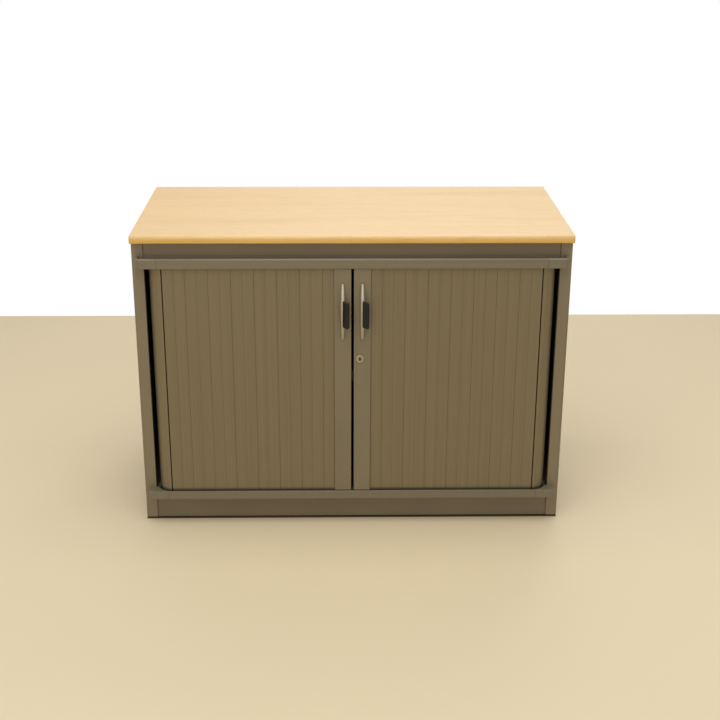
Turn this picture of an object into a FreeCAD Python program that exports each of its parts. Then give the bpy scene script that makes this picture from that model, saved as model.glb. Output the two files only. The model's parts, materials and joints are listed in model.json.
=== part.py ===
import FreeCAD, Part
import Sketcher
import math
import os
import re

# A low steel cabinet with two tambour doors and a wooden top, in millimetres.
# +X is to the right, +Y to the back and +Z up. The origin is on the floor, under the
# middle of the cabinet and its handles. Left-hand pieces are drawn, and their
# right-hand twins mirror them.

Vector = FreeCAD.Vector
Rotation = FreeCAD.Rotation
UP = Vector(0, 0, 1)
doc = FreeCAD.newDocument("TambourCabinet")

# Driving sizes. Those that end in share or shares are parts of another size, and those
# that end in count are numbers of pieces.
SIZES = {
    # Steel carcass
    "carcass_width": 1000,
    "carcass_depth": 465,
    "carcass_height": 690,
    "sheet_thickness": 1,
    "flange_width": 27.4,
    "flange_return": 14,
    "post_radius": 8,
    "infill_recess": 2,
    "infill_gap": 0.8,
    "infill_return": 18,
    "foot_gap": 5,
    # Wooden top
    "board_thickness": 18,
    "board_side_overhang": 0.5,
    "board_front_overhang": 14,
    "board_back_overhang": 4,
    "lipping_depth": 12,
    "lipping_radius": 5.5,
    "lipping_foot_radius": 4,
    "edge_band_thickness": 1,
    # Rails and tracks
    "rail_projection": 28,
    "rail_depth": 20,
    "lip_thickness": 4,
    "groove_width": 14,
    "groove_depth": 12,
    "bottom_rail_base": 60.5,
    "bottom_rail_height": 20.5,
    "top_rail_height": 23.5,
    "top_rail_drop": 31,
    "nose_radius": 1.5,
    "top_nose_radius": 4,
    "channel_wall": 5,
    "channel_depth": 9,
    "rail_plate_thickness": 4,
    "top_plate_thickness": 11,
    "rail_plate_reach": 15,
    "rail_end_inset": 11.5,
    "rail_end_radius": 10,
    "corner_width": 47.5,
    "joint_gap": 0.4,
    "side_track_wall": 3.5,
    "side_clearance": 1.7,
    "track_end_gap": 10,
    "track_stop_depth": 4,
    # Curtains
    "slat_target": 26,
    "slat_thickness": 6.4,
    "slat_gap": 0.4,
    "slat_bevel": 0.9,
    "slat_back_bevel": 3.2,
    "slat_head_gap": 1,
    "bend_inset": 68.5,
    "bend_radius": 28,
    "bend_inner_radius": 20,
    "bend_clearance": 0.6,
    "running_gap": 0.3,
    # Stiles
    "centre_gap": 6,
    "stile_width": 39,
    "stile_depth": 14,
    "stile_wall": 1.6,
    "stile_edge_radius": 1.2,
    "stile_end_gap": 1,
    "glide_fit": 0.2,
    "glide_plug": 20,
    "glide_margin": 3,
    "glide_side_gap": 0.8,
    # Handles
    "handle_drop": 102,
    "bow_length": 132,
    "bow_width": 8.8,
    "bow_tip_width": 5.4,
    "bow_depth": 5.6,
    "bow_tip_depth": 4,
    "bow_rise": 14,
    "boss_radius": 2.4,
    "grip_reach": 26,
    "grip_length": 62,
    "grip_width": 15,
    "grip_offset": 1,
    "grip_corner_radius": 4,
    "grip_drop": 5,
    "grip_thickness": 6,
    "grip_edge_radius": 1.5,
    "handle_screw_radius": 1.5,
    "handle_screw_bite": 4,
    # Lock
    "lock_offset": 17,
    "lock_drop": 217,
    "bezel_radius": 9.2,
    "bezel_thickness": 2.5,
    "bezel_edge_radius": 1,
    "barrel_radius": 7,
    "barrel_tail": 0.5,
    "lock_nut_radius": 12,
    "lock_nut_thickness": 4,
    "plug_radius": 5.6,
    "plug_recess": 0.6,
    "plug_tail": 0.2,
    "plug_clearance": 0.05,
    "keyway_width": 4.2,
    "keyway_height": 8,
    "keyway_depth": 10,
    "hook_width": 10,
    "hook_length": 33,
    "hook_thickness": 2,
    "notch_reach": 28,
    "notch_width": 4.4,
    "notch_depth": 6,
    "keeper_plate_width": 24,
    "keeper_plate_height": 40,
    "keeper_plate_thickness": 1.2,
    "keeper_tab_width": 3,
    "keeper_tab_height": 8,
    "keeper_tab_rise": 0.5,
    "keeper_tab_overlap": 0.5,
    # Inside
    "pocket_width": 54,
    "liner_setback": 22,
    "slot_width": 4,
    "slot_height": 14,
    "slot_start": 48,
    "slot_head": 70.5,
    "slot_count": 16,
    "slot_setback": 45,
    "shelf_step_count": 8,
    "shelf_setback": 10,
    "shelf_hem": 24,
    "shelf_side_gap": 0.5,
    "clip_reach": 14,
    "clip_height": 20,
    "clip_width": 16,
    "clip_thickness": 1.5,
    "clip_hook_width": 3,
    "clip_hook_height": 10,
    "clip_hook_reach": 2,
    # Feet
    "foot_inset": 36,
    "foot_setback": 45,
    "foot_pad_radius": 16,
    "foot_rim_height": 3,
    "foot_pad_height": 8,
    "foot_neck_radius": 8,
    "stem_radius": 4,
    "stem_top": 58,
    "stem_clearance": 0.05,
    "bracket_height": 25,
    "bracket_thickness": 3,
    "bracket_leg": 30,
    "bracket_reach": 70,
    "bracket_width": 50,
    "foot_nut_radius": 8,
    "foot_nut_thickness": 6.5,
    # Screws and rivets
    "screw_radius": 2,
    "screw_head_radius": 4,
    "screw_head_height": 2.2,
    "screw_bite": 14,
    "rail_screw_bite": 6,
    "hook_screw_bite": 6,
    "board_screw_setback": 70,
    "screw_clearance": 0.3,
    "thread_clearance": 0.05,
    "rivet_radius": 1.6,
    "rivet_head_radius": 3.2,
    "rivet_head_height": 1.2,
    # Extra length of every cutting shape
    "overrun": 2,
}

# Places and sizes that follow from the driving ones.
PLACES = {
    "half_width": "carcass_width / 2",
    "inner_side": "half_width - sheet_thickness",
    "flange_edge": "half_width - flange_width",
    "infill_side": "flange_edge - infill_gap",
    "front_reach": "rail_projection - lip_thickness + grip_reach",
    "carcass_front": "(front_reach - carcass_depth - board_back_overhang) / 2",
    "carcass_back": "carcass_front + carcass_depth",
    "infill_front": "carcass_front + infill_recess",
    "pan_front": "infill_front + sheet_thickness",
    "pan_back": "carcass_back - 2 * sheet_thickness",
    "board_bottom": "foot_gap + carcass_height",
    "board_top": "board_bottom + board_thickness",
    "board_side": "half_width + board_side_overhang",
    "board_front": "carcass_front - board_front_overhang",
    "board_back": "carcass_back + board_back_overhang",
    "core_front": "board_front + lipping_depth",
    "core_side": "board_side - edge_band_thickness",
    "deck_top": "foot_gap + bottom_rail_base",
    "bottom_rail_top": "deck_top + bottom_rail_height",
    "top_rail_top": "board_bottom - top_rail_drop",
    "top_rail_bottom": "top_rail_top - top_rail_height",
    "rail_front": "carcass_front - rail_projection",
    "rail_rear": "rail_front + rail_depth",
    "plate_rear": "carcass_front + rail_plate_reach",
    "groove_front": "rail_front + lip_thickness",
    "groove_rear": "groove_front + groove_width",
    "curtain_line": "groove_front + groove_width / 2",
    "rail_end": "half_width - rail_end_inset",
    "joint_x": "rail_end - corner_width",
    "bend_x": "half_width - bend_inset",
    "bend_y": "curtain_line + bend_radius",
    "side_run": "bend_x + bend_radius",
    "side_groove_half": "slat_thickness / 2 + side_clearance",
    "side_track_half": "side_groove_half + side_track_wall",
    "track_end": "carcass_back - track_end_gap",
    "slat_bottom": "bottom_rail_top - groove_depth + running_gap",
    "slat_top": "top_rail_bottom + groove_depth - slat_head_gap",
    "slat_height": "slat_top - slat_bottom",
    "stile_inner": "centre_gap / 2",
    "stile_outer": "stile_inner + stile_width",
    "stile_middle": "stile_inner + stile_width / 2",
    "stile_front": "groove_front",
    "stile_back": "stile_front + stile_depth",
    "stile_bottom": "bottom_rail_top + stile_end_gap",
    "stile_top": "top_rail_bottom - stile_end_gap",
    "handle_height": "top_rail_bottom - handle_drop",
    "lock_height": "top_rail_bottom - lock_drop",
    "flat_run": "bend_x - stile_outer",
    "slat_pitch": "flat_run / round(flat_run / slat_target)",
    "liner_outer": "half_width - pocket_width",
    "liner_inner": "liner_outer - sheet_thickness",
    "liner_front": "carcass_front + liner_setback",
    "slot_pitch": "(top_rail_top - deck_top - slot_start - slot_head) / (slot_count - 1)",
    "shelf_bottom": "deck_top + slot_start + shelf_step_count * slot_pitch",
    "shelf_front": "liner_front + shelf_setback",
    "shelf_back": "track_end - shelf_setback",
    "shelf_side": "liner_inner - shelf_side_gap",
    "front_slots": "liner_front + slot_setback",
    "rear_slots": "track_end - slot_setback",
    "foot_x": "half_width - foot_inset",
    "lock_nut_back": "stile_back + lock_nut_thickness",
    "barrel_back": "lock_nut_back + barrel_tail",
    "hook_front": "barrel_back + plug_tail",
    "hook_back": "hook_front + hook_thickness",
}

# Where pieces repeat: parts of the half width, of the carcass height or of the bow's half
# length, each measured from the middle.
SCREW_SPREAD_SHARES = (-0.8, -0.4, 0, 0.4, 0.8)
BOARD_SCREW_SHARES = (-0.85, 0, 0.85)
RIVET_SHARES = (0.1, 0.36, 0.63, 0.9)
BOW_SHARES = (-1, -0.7, -0.35, 0, 0.35, 0.7, 1)
BOSS_SHARES = (-0.82, 0.82)
GRIP_LEAN = 15
QUARTER_TURN = 90
# The gap below which two places count as one, and a sketch length before its formula sets it.
NEAR = 0.001
OUTLINE_START = 0.5


def formula(text, own=()):
    """Prefixes each size's or place's name with its sheet, but for names of the own sheet."""
    def qualify(match):
        word = match.group(0)
        if word in own:
            return word
        if word in SIZES:
            return "sizes." + word
        return "places." + word if word in PLACES else word
    return re.sub(r"[a-z_]+", qualify, str(text))


def make_sheet(name, cells):
    sheet = doc.addObject("Spreadsheet::Sheet", name)
    for row, (alias, content) in enumerate(cells.items(), start=1):
        sheet.set(f"A{row}", alias)
        sheet.set(f"B{row}", content)
        sheet.setAlias(f"B{row}", alias)
    return sheet


sizes = make_sheet("sizes", {alias: str(number) for alias, number in SIZES.items()})
places = make_sheet("places", {alias: "=" + formula(text, PLACES) for alias, text in PLACES.items()})
doc.recompute()
NUMBER = {alias: float(sizes.get(alias)) for alias in SIZES}
NUMBER.update({alias: float(places.get(alias)) for alias in PLACES})


def bind(feature, **formulas):
    for prop, text in formulas.items():
        feature.setExpression(prop, formula(text))
    return feature


def locate(feature, corner):
    for axis, text in zip("xyz", corner):
        feature.setExpression(f"Placement.Base.{axis}", formula(text))
    return feature


def box(name, x, y, z):
    """A block that spans the low and high formulas of each axis."""
    block = doc.addObject("Part::Box", name)
    for side, (low, high) in zip(("Length", "Width", "Height"), (x, y, z)):
        block.setExpression(side, formula(f"({high}) - ({low})"))
    return locate(block, (x[0], y[0], z[0]))


def between(middle, half):
    return f"({middle}) - ({half})", f"({middle}) + ({half})"


ALONG = {"z": Rotation(), "y": Rotation(Vector(1, 0, 0), -QUARTER_TURN)}


def rod(name, radius, length, base, along="z"):
    cylinder = bind(doc.addObject("Part::Cylinder", name), Radius=radius, Height=length)
    cylinder.Placement = FreeCAD.Placement(Vector(), ALONG[along])
    return locate(cylinder, base)


def fuse(name, *parts):
    feature = doc.addObject("Part::MultiFuse", name)
    feature.Shapes = list(parts)
    feature.Refine = True
    return feature


def cut(name, base, *tools):
    feature = doc.addObject("Part::Cut", name)
    feature.Base = base
    feature.Tool = tools[0] if len(tools) == 1 else group(name + "_cutters", *tools)
    return feature


def group(name, *parts):
    feature = doc.addObject("Part::Compound", name)
    feature.Links = list(parts)
    return feature


def mirror(name, source):
    feature = doc.addObject("Part::Mirroring", name)
    feature.Source = source
    feature.Normal = Vector(1, 0, 0)
    return feature


def edges_at(shape, radius=None, **where):
    """Numbers of the edges that lie wholly at the given coordinates."""
    numbers = []
    for number, edge in enumerate(shape.Edges, start=1):
        bounds = edge.BoundBox
        spans = {"x": (bounds.XMin, bounds.XMax),
                 "y": (bounds.YMin, bounds.YMax),
                 "z": (bounds.ZMin, bounds.ZMax)}
        lies_there = all(abs(end - place) < NEAR for axis, place in where.items() for end in spans[axis])
        is_round = radius is None or abs(getattr(edge.Curve, "Radius", 0) - radius) < NEAR
        if lies_there and is_round:
            numbers.append(number)
    return numbers


def dress(kind, name, base, amount, *places_of_edges):
    """Rounds (Part::Fillet) or bevels (Part::Chamfer) the edges found at each place."""
    doc.recompute()
    numbers = [number for where in places_of_edges for number in edges_at(base.Shape, **where)]
    feature = doc.addObject(kind, name)
    feature.Base = base
    feature.Edges = [(number, amount, amount) for number in sorted(set(numbers))]
    return feature


def rounded(name, base, radius, *places_of_edges):
    return dress("Part::Fillet", name, base, radius, *places_of_edges)


nodes = []


def node(feature):
    """Keeps a finished sub-part, whose label names its file."""
    feature.Label = feature.Name
    nodes.append(feature)
    return feature


def screw(name, x, y, seat, bite, points_up=True):
    """A pan-head screw on a seat, with its shank going up or down from there."""
    shank_base = seat if points_up else f"({seat}) - ({bite})"
    head_base = f"({seat}) - screw_head_height" if points_up else seat
    shank = rod(name + "_shank", "screw_radius", bite, (x, y, shank_base))
    head = rod(name + "_head", "screw_head_radius", "screw_head_height", (x, y, head_base))
    return fuse(name, shank, head)


def screw_holes(name, spots, z, clearance):
    """Round holes through the height range z at each spot."""
    low, high = z
    depth = f"({high}) - ({low})"
    radius = f"screw_radius + {clearance}"
    holes = [rod(f"{name}_{i}", radius, depth, (x, y, low)) for i, (x, y) in enumerate(spots)]
    return group(name, *holes)


# Folded side panels: an outer sheet with a rounded front edge, a double fold at the front
# and a single one at the back, to which rivets hold the back panel.
FULL_HEIGHT = ("foot_gap", "board_bottom")
OVER_HEIGHT = ("foot_gap - overrun", "board_bottom + overrun")
RIVET_X = "half_width - flange_width / 2"


def rivet_row(name, radius, length, y):
    spots = [f"foot_gap + carcass_height * {share}" for share in RIVET_SHARES]
    return [rod(f"{name}_{i}", radius, length, (f"-({RIVET_X})", y, z), "y") for i, z in enumerate(spots)]


def make_side_panels():
    outside_y = ("carcass_front", "carcass_back")
    outer = box("side_outer", ("-half_width", "-flange_edge"), outside_y, FULL_HEIGHT)
    outer_edge = {"x": -NUMBER["half_width"], "y": NUMBER["carcass_front"]}
    outer = rounded("side_outer_rounded", outer, NUMBER["post_radius"], outer_edge)
    inside_x = ("-inner_side", "-flange_edge - sheet_thickness")
    inside_y = ("carcass_front + sheet_thickness", "carcass_back - sheet_thickness")
    inner = box("side_inner", inside_x, inside_y, OVER_HEIGHT)
    inner_edge = {"x": -NUMBER["inner_side"], "y": NUMBER["carcass_front"] + NUMBER["sheet_thickness"]}
    inner_radius = NUMBER["post_radius"] - NUMBER["sheet_thickness"]
    inner = rounded("side_inner_rounded", inner, inner_radius, inner_edge)
    mouth_x = ("-flange_edge - sheet_thickness - overrun", "-flange_edge + overrun")
    mouth_y = ("carcass_front + flange_return", inside_y[1])
    mouth = box("side_mouth", mouth_x, mouth_y, OVER_HEIGHT)
    hole_radius = "rivet_radius + thread_clearance"
    holes = rivet_row("side_rivet_hole", hole_radius, "2 * overrun", "carcass_back - overrun")
    left = node(cut("left_side_panel", outer, inner, mouth, *holes))
    node(mirror("right_side_panel", left))


def make_back_panel():
    sheet_y = ("pan_back", "carcass_back - sheet_thickness")
    side = "inner_side - infill_gap"
    sheet = box("back_sheet", (f"-({side})", side), sheet_y, FULL_HEIGHT)
    hole_radius = "rivet_radius + thread_clearance"
    left_holes = rivet_row("back_rivet_hole", hole_radius, "2 * overrun", "pan_back - overrun")
    holes = group("back_rivet_holes", *left_holes)
    node(cut("back_panel", sheet, holes, mirror("back_rivet_holes_right", holes)))
    shank_length = "3 * sheet_thickness"
    shanks = rivet_row("rivet_shank", "rivet_radius", shank_length, f"carcass_back - {shank_length}")
    heads = rivet_row("rivet_head", "rivet_head_radius", "rivet_head_height", "carcass_back")
    pairs = zip(shanks, heads)
    rivets = group("left_rivets", *[fuse(f"rivet_{i}", *pair) for i, pair in enumerate(pairs)])
    node(group("back_rivets", rivets, mirror("right_rivets", rivets)))


# Flat pans between the side panels: the deck, the ceiling and the roof. They reach the
# side sheets, but step in round the front folds.
PAN_STEP = "flange_return + infill_gap"


def pan(name, low, high):
    wide_x = ("-inner_side", "inner_side")
    wide_y = (f"carcass_front + {PAN_STEP}", "pan_back")
    wide = box(name + "_wide", wide_x, wide_y, (low, high))
    narrow = box(name + "_narrow", ("-infill_side", "infill_side"), ("pan_front", "pan_back"), (low, high))
    return fuse(name + "_sheet", wide, narrow)


RAIL_SCREW_Y = "(pan_front + plate_rear) / 2"
RAIL_SCREW_SPOTS = [(f"{share} * joint_x", RAIL_SCREW_Y) for share in SCREW_SPREAD_SHARES]
BOARD_SCREW_ROWS = ("carcass_front + board_screw_setback", "carcass_back - board_screw_setback")
BOARD_SCREW_SPOTS = [(f"{share} * half_width", y) for share in BOARD_SCREW_SHARES for y in BOARD_SCREW_ROWS]


def make_pans():
    deck = pan("deck", "deck_top - sheet_thickness", "deck_top")
    deck_holes = ("deck_top - overrun", "deck_top + overrun")
    node(cut("base_deck", deck, screw_holes("deck_holes", RAIL_SCREW_SPOTS, deck_holes, "screw_clearance")))
    ceiling = pan("ceiling", "top_rail_top", "top_rail_top + sheet_thickness")
    ceiling_holes = ("top_rail_top - overrun", "top_rail_top + overrun")
    holes = screw_holes("ceiling_holes", RAIL_SCREW_SPOTS, ceiling_holes, "screw_clearance")
    node(cut("ceiling_panel", ceiling, holes))
    roof = pan("roof", "board_bottom - sheet_thickness", "board_bottom")
    roof_holes = ("board_bottom - overrun", "board_bottom + overrun")
    holes = screw_holes("roof_board_holes", BOARD_SCREW_SPOTS, roof_holes, "screw_clearance")
    node(cut("roof_panel", roof, holes))


# Fascia and plinth: recessed strips between the side panels, each with a folded return
# away from the rails.
def infill(name, low, high, return_z):
    side_x = ("-infill_side", "infill_side")
    sheet = box(name + "_sheet", side_x, ("infill_front", "pan_front"), (low, high))
    return_y = ("pan_front", "pan_front + infill_return")
    folded = box(name + "_return", side_x, return_y, return_z)
    node(fuse(name, sheet, folded))


def make_infills():
    fold_top = "board_bottom - sheet_thickness"
    infill("front_fascia", "top_rail_top", "board_bottom", (f"{fold_top} - sheet_thickness", fold_top))
    infill("plinth", "foot_gap", "deck_top", ("foot_gap", "foot_gap + sheet_thickness"))


# Wooden top: a core, a rounded solid lipping along the front and thin bands on the other
# edges, held from below by screws through the roof.
def make_top():
    height = ("board_bottom", "board_top")
    core_y = ("core_front", "board_back - edge_band_thickness")
    core = box("core", ("-core_side", "core_side"), core_y, height)
    pilot = ("board_bottom - overrun", "board_bottom + screw_bite")
    node(cut("top_board", core, screw_holes("pilot_holes", BOARD_SCREW_SPOTS, pilot, "thread_clearance")))
    lipping = box("lipping", ("-board_side", "board_side"), ("board_front", "core_front"), height)
    foot_edge = {"y": NUMBER["board_front"], "z": NUMBER["board_bottom"]}
    lipping = rounded("lipping_with_foot", lipping, NUMBER["lipping_foot_radius"], foot_edge)
    top_edge = {"y": NUMBER["board_front"], "z": NUMBER["board_top"]}
    node(rounded("board_front_lipping", lipping, NUMBER["lipping_radius"], top_edge))
    left_band = box("left_band", ("-board_side", "-core_side"), ("core_front", "board_back"), height)
    back_y = ("board_back - edge_band_thickness", "board_back")
    back_band = box("back_band", ("-core_side", "core_side"), back_y, height)
    node(group("board_edge_bands", left_band, mirror("right_band", left_band), back_band))
    seat = "board_bottom - sheet_thickness"
    bite = "screw_bite"
    spots = enumerate(BOARD_SCREW_SPOTS)
    node(group("board_screws", *[screw(f"board_screw_{i}", x, y, seat, bite) for i, (x, y) in spots]))


# The groove that guides a curtain: straight along the front, round both bends, where it is
# open towards the side panels, and back along both sides.
def groove(name, z):
    low, high = z
    depth = f"({high}) - ({low})"
    front = box(name + "_front", ("-bend_x", "bend_x"), ("groove_front", "groove_rear"), z)
    centre = ("-bend_x", "bend_y", low)
    outer_radius = "bend_radius + groove_width / 2 + bend_clearance"
    outer = rod(name + "_bend_outer", outer_radius, depth, centre)
    outer.Angle = QUARTER_TURN
    outer.Placement.Rotation = Rotation(UP, 2 * QUARTER_TURN)
    bend = cut(name + "_bend", outer, rod(name + "_bend_inner", "bend_inner_radius", depth, centre))
    side_x = between("-side_run", "side_groove_half")
    side = box(name + "_side", side_x, ("bend_y", "track_end + overrun"), z)
    opening_x = ("-infill_side - overrun", "-side_run")
    opening = box(name + "_opening", opening_x, ("carcass_front", "plate_rear"), z)
    left = fuse(name + "_left", bend, side, opening)
    return fuse(name, front, left, mirror(name + "_right", left))


# Rails: a grooved bar in front of the carcass with a plate behind it, which is screwed to
# the deck or the ceiling, and moulded corners that carry the groove round the bends. The
# top rail has an open channel along its upper side.
def make_rail(name, bar_z, plate_z, upper_nose, groove_cutter, *hollows):
    noses = list(zip(bar_z, ("nose_radius", upper_nose)))
    cutters = (groove_cutter, *hollows)
    length = "joint_x - joint_gap / 2"
    bar = box(name + "_bar", (f"-({length})", length), ("rail_front", "rail_rear"), bar_z)
    for end, radius in noses:
        nose = {"y": NUMBER["rail_front"], "z": NUMBER[end]}
        bar = rounded(f"{name}_bar_with_{end}", bar, NUMBER[radius], nose)
    plate = box(name + "_plate", (f"-({length})", length), ("rail_rear", "plate_rear"), plate_z)
    hole_z = (f"{plate_z[0]} - overrun", f"{plate_z[1]} + overrun")
    holes = screw_holes(name + "_holes", RAIL_SCREW_SPOTS, hole_z, "screw_clearance")
    node(cut(name, fuse(name + "_body", bar, plate), *cutters, holes))

    inner_end = "-joint_x - joint_gap / 2"
    front = box(name + "_corner_front", ("-rail_end", inner_end), ("rail_front", "carcass_front"), bar_z)
    end_edge = {"x": -NUMBER["rail_end"], "y": NUMBER["rail_front"]}
    front = rounded(name + "_corner_round", front, NUMBER["rail_end_radius"], end_edge)
    for end, radius in noses:
        rims = [{"z": NUMBER[end], "y": NUMBER["rail_front"]},
                {"z": NUMBER[end], "radius": NUMBER["rail_end_radius"]},
                {"z": NUMBER[end], "x": -NUMBER["rail_end"]}]
        front = rounded(f"{name}_corner_with_{end}", front, NUMBER[radius], *rims)
    inside_y = ("carcass_front", "plate_rear")
    inside = box(name + "_corner_inside", ("-infill_side", inner_end), inside_y, bar_z)
    corner = fuse(name + "_corner_body", front, inside)
    left = node(cut(name + "_left_corner", corner, *cutters))
    node(mirror(name + "_right_corner", left))

    side_x = between("-side_run", "side_track_half")
    side_bar = box(name + "_side_bar", side_x, ("plate_rear", "track_end"), bar_z)
    return cut(name + "_side_track", side_bar, groove_cutter)


def make_rails():
    bottom_groove_z = ("bottom_rail_top - groove_depth", "bottom_rail_top + overrun")
    bottom_plate_z = ("deck_top", "deck_top + rail_plate_thickness")
    bottom_groove = groove("bottom_groove", bottom_groove_z)
    bottom_bar_z = ("deck_top", "bottom_rail_top")
    bottom_track = make_rail("bottom_rail", bottom_bar_z, bottom_plate_z, "nose_radius", bottom_groove)
    top_groove_z = ("top_rail_bottom - overrun", "top_rail_bottom + groove_depth")
    top_plate_z = ("top_rail_top - top_plate_thickness", "top_rail_top")
    top_groove = groove("top_groove", top_groove_z)
    channel_x = ("-rail_end + channel_wall", "rail_end - channel_wall")
    channel_z = ("top_rail_top - channel_depth", "top_rail_top + overrun")
    channel = box("top_channel_blank", channel_x, ("rail_front + channel_wall", "carcass_front"), channel_z)
    channel_end = NUMBER["rail_end"] - NUMBER["channel_wall"]
    channel_front = NUMBER["rail_front"] + NUMBER["channel_wall"]
    channel_edges = [{"x": side * channel_end, "y": channel_front} for side in (-1, 1)]
    channel_radius = NUMBER["rail_end_radius"] - NUMBER["channel_wall"]
    channel = rounded("top_channel", channel, channel_radius, *channel_edges)
    top_bar_z = ("top_rail_bottom", "top_rail_top")
    top_track = make_rail("top_rail", top_bar_z, top_plate_z, "top_nose_radius", top_groove, channel)
    left_tracks = node(group("left_side_tracks", bottom_track, top_track))
    node(mirror("right_side_tracks", left_tracks))

    stop_x = between("-side_run", "side_groove_half - running_gap")
    stop_y = ("track_end - track_stop_depth", "track_end")
    bottom_stop = box("bottom_stop", stop_x, stop_y, ("bottom_rail_top - groove_depth", "bottom_rail_top"))
    top_stop = box("top_stop", stop_x, stop_y, ("top_rail_bottom", "top_rail_bottom + groove_depth"))
    left_stops = group("left_stops", bottom_stop, top_stop)
    node(group("track_stops", left_stops, mirror("right_stops", left_stops)))

    rows = [("bottom", bottom_plate_z[1], "rail_plate_thickness", False),
            ("top", top_plate_z[0], "top_plate_thickness", True)]
    for row, seat, plate, points_up in rows:
        bite = f"{plate} + rail_screw_bite"
        spots = enumerate(RAIL_SCREW_SPOTS)
        screws = [screw(f"{row}_screw_{i}", x, y, seat, bite, points_up) for i, (x, y) in spots]
        node(group(f"{row}_rail_screws", *screws))


# Curtains: flat slats whose joints follow the groove's middle line. The slats between the
# stile and the bend lie flat, those in the bend follow it, and the tail runs in the pocket.
def slat(name, start, end):
    """A slat from joint to joint, with a fine bevel outwards and a deep one inwards to turn on."""
    blank = doc.addObject("Part::Box", name + "_blank")
    bind(blank, Length="slat_pitch - slat_gap", Width="slat_thickness", Height="slat_height")
    doc.recompute()
    ends = (0, blank.Length.Value)
    inwards = [{"x": x, "y": 0} for x in ends]
    tapered = dress("Part::Chamfer", name + "_tapered", blank, NUMBER["slat_back_bevel"], *inwards)
    corners = [{"x": x, "y": blank.Width.Value} for x in ends]
    along = (end - start).normalize()
    outwards = UP.cross(along)
    corner = start + along * (NUMBER["slat_gap"] / 2) - outwards * (NUMBER["slat_thickness"] / 2)
    bevelled = dress("Part::Chamfer", name, tapered, NUMBER["slat_bevel"], *corners)
    turn = Rotation(Vector(1, 0, 0), along)
    blank.Placement = FreeCAD.Placement(corner + UP * NUMBER["slat_bottom"], turn)
    return bevelled


def bent_slat(name, start):
    """A slat that follows the bend from a place along it, and then the side if it is longer."""
    radius = NUMBER["bend_radius"]
    bend_end = radius * math.pi / 2
    first = start + NUMBER["slat_gap"] / 2
    last = start + NUMBER["slat_pitch"] - NUMBER["slat_gap"] / 2
    turns = [math.degrees(min(place, bend_end) / radius) for place in (first, last)]
    centre = ("-bend_x", "bend_y", "slat_bottom")
    outer = rod(name + "_outer", "bend_radius + slat_thickness / 2", "slat_height", centre)
    outer.Angle = turns[1] - turns[0]
    outer.Placement.Rotation = Rotation(UP, 3 * QUARTER_TURN - turns[1])
    inner = rod(name + "_inner", "bend_radius - slat_thickness / 2", "slat_height", centre)
    bent = cut(name + "_bent", outer, inner)
    if last <= bend_end:
        return bent
    straight_x = between("-side_run", "slat_thickness / 2")
    straight_y = ("bend_y", f"bend_y + {last - bend_end}")
    straight = box(name + "_straight", straight_x, straight_y, ("slat_bottom", "slat_top"))
    return fuse(name, bent, straight)


def make_curtains():
    pitch = NUMBER["slat_pitch"]
    line = NUMBER["curtain_line"]
    flat_count = round(NUMBER["flat_run"] / pitch)
    joints = [Vector(-NUMBER["stile_outer"] - pitch * i, line, 0) for i in range(flat_count + 1)]
    flat = [slat(f"flat_slat_{i}", *joints[i:i + 2]) for i in range(flat_count)]
    left_front = node(group("left_front_slats", *flat))
    node(mirror("right_front_slats", left_front))

    bend_end = NUMBER["bend_radius"] * math.pi / 2
    bent_count = math.ceil(bend_end / pitch)
    bent = [bent_slat(f"bent_slat_{i}", pitch * i) for i in range(bent_count)]
    left_corner = node(group("left_corner_slats", *bent))
    node(mirror("right_corner_slats", left_corner))

    tail_start = Vector(-NUMBER["side_run"], NUMBER["bend_y"] + pitch * bent_count - bend_end, 0)
    left_tail = node(slat("left_tail_slat", tail_start, tail_start + Vector(0, pitch, 0)))
    node(mirror("right_tail_slat", left_tail))


# Stiles: hollow uprights at the meeting edges, with a glide in each end that runs in the
# groove of its rail.
def make_stiles():
    stile_z = ("stile_bottom", "stile_top")
    outer = box("stile_tube", ("-stile_outer", "-stile_inner"), ("stile_front", "stile_back"), stile_z)
    sides = ("stile_inner", "stile_outer")
    front_edges = [{"x": -NUMBER[side], "y": NUMBER["stile_front"]} for side in sides]
    outer = rounded("stile_tube_rounded", outer, NUMBER["stile_edge_radius"], *front_edges)
    hollow_x = ("-stile_outer + stile_wall", "-stile_inner - stile_wall")
    hollow_y = ("stile_front + stile_wall", "stile_back - stile_wall")
    hollow_z = ("stile_bottom - overrun", "stile_top + overrun")
    hollow = box("stile_hollow", hollow_x, hollow_y, hollow_z)
    hole_radius = "handle_screw_radius + screw_clearance"
    hole_y = "stile_front - overrun"
    hole_length = "stile_wall + 2 * overrun"
    holes = [rod(f"stile_hole_{i}", hole_radius, hole_length, ("-stile_middle", hole_y, z), "y")
             for i, z in enumerate(BOSS_HEIGHTS)]
    left = node(cut("left_stile", outer, hollow, *holes))
    bore_radius = "barrel_radius + screw_clearance"
    bore_base = ("lock_offset", hole_y, "lock_height")
    bore = rod("lock_bore", bore_radius, "stile_depth + 2 * overrun", bore_base, "y")
    node(cut("right_stile", mirror("right_stile_tube", left), bore))

    plug_x = ("-stile_outer + stile_wall + glide_fit", "-stile_inner - stile_wall - glide_fit")
    plug_y = ("stile_front + stile_wall + glide_fit", "stile_back - stile_wall - glide_fit")
    tongue_x = ("-stile_outer + glide_margin", "-stile_inner - glide_margin")
    tongue_y = between("curtain_line", "groove_width / 2 - glide_side_gap")
    ends = {"bottom": (("stile_bottom", "stile_bottom + glide_plug"), ("slat_bottom", "stile_bottom")),
            "top": (("stile_top - glide_plug", "stile_top"), ("stile_top", "slat_top"))}
    glides = []
    for end, (plug_z, tongue_z) in ends.items():
        plug = box(f"{end}_glide_plug", plug_x, plug_y, plug_z)
        tongue = box(f"{end}_glide_tongue", tongue_x, tongue_y, tongue_z)
        glides.append(fuse(f"{end}_glide", plug, tongue))
    left_glides = node(group("left_stile_glides", *glides))
    node(mirror("right_stile_glides", left_glides))


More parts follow.
